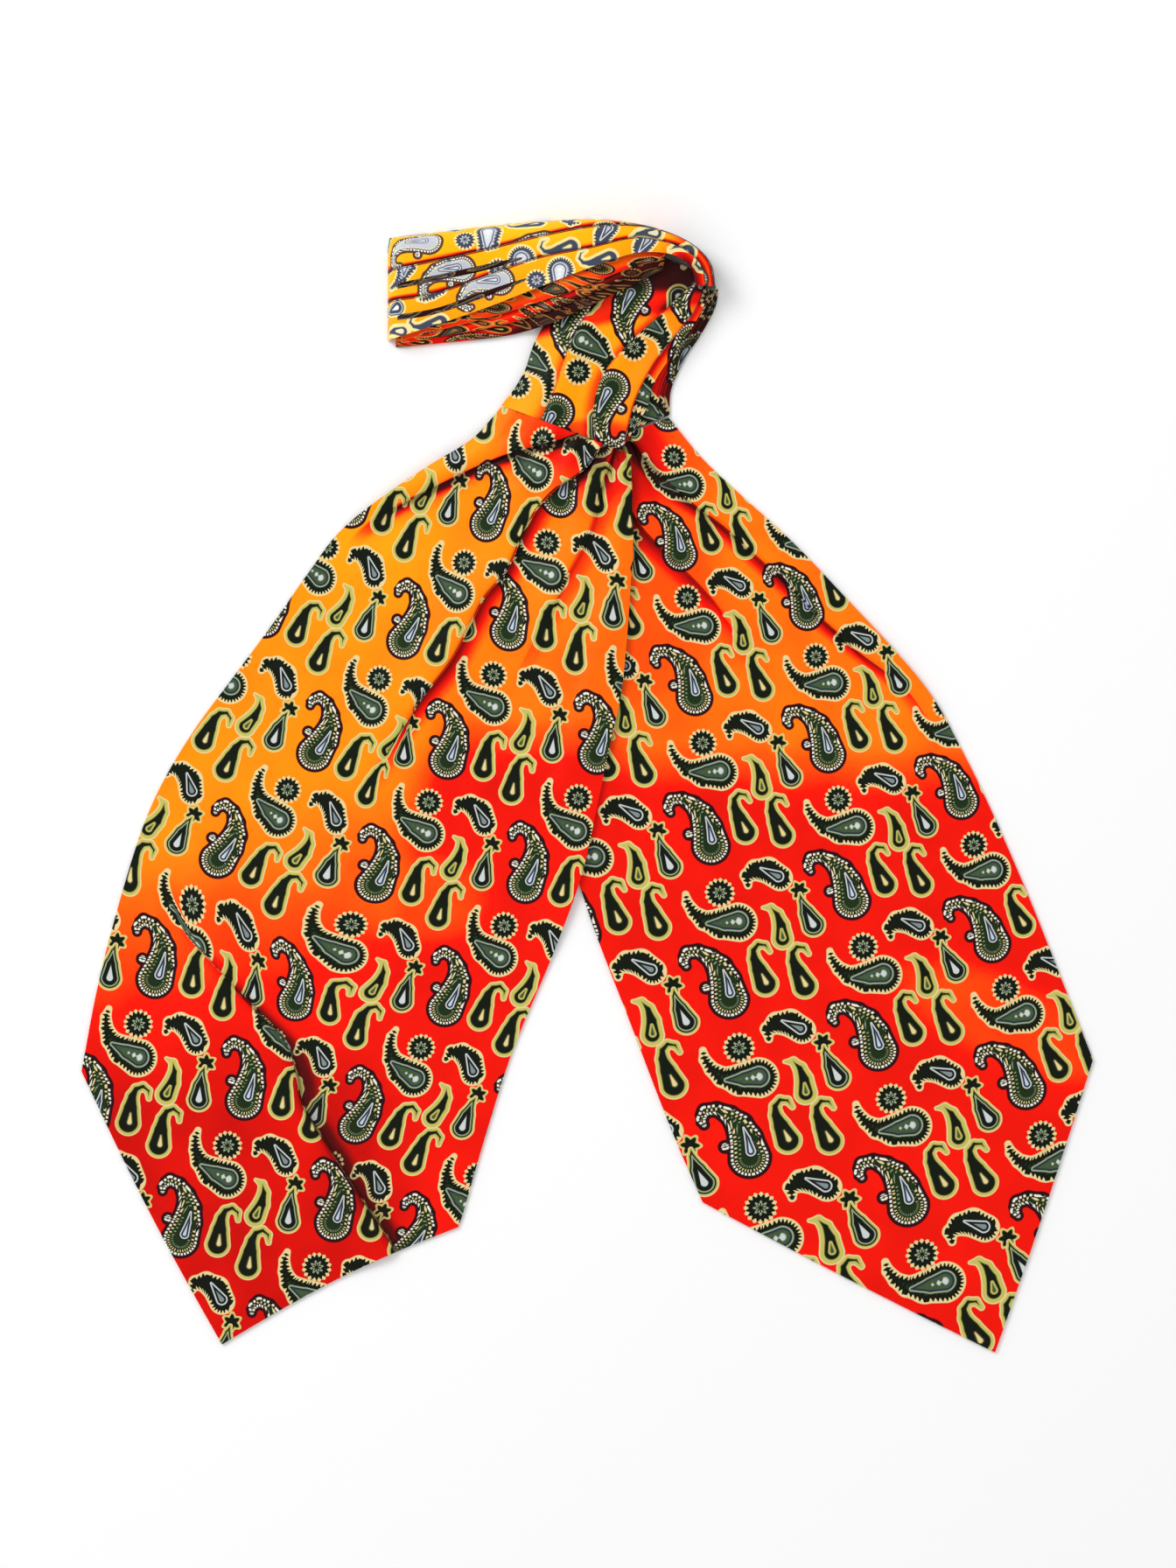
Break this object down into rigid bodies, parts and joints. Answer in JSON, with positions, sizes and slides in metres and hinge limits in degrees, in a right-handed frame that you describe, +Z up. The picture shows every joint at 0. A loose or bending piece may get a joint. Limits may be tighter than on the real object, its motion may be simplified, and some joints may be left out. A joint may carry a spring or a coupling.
{
  "type": "silk cravat",
  "caption": "Silk day cravat laid flat: pointed bias-cut blades hang from a knife-pleated neckband that turns over to one side.",
  "frame": {"origin": "on the table, under the middle of the cravat's box", "axes": "+Z up off the table, +Y from the blade tips towards the neckband, +X to the right as seen from above"},
  "size_m": [0.3814, 0.4282, 0.0165],
  "materials": {
    "blade_silk": "printed silk twill, soft sheen",
    "neckband_silk": "printed silk twill, soft sheen, pressed pleats"
  },
  "bodies": {
    "root": {"front_blade": "blade_silk", "back_blade": "blade_silk", "neckband_front": "neckband_silk", "neckband_top": "neckband_silk", "neckband_inner": "neckband_silk", "neckband_back": "neckband_silk"}
  },
  "joints": []
}
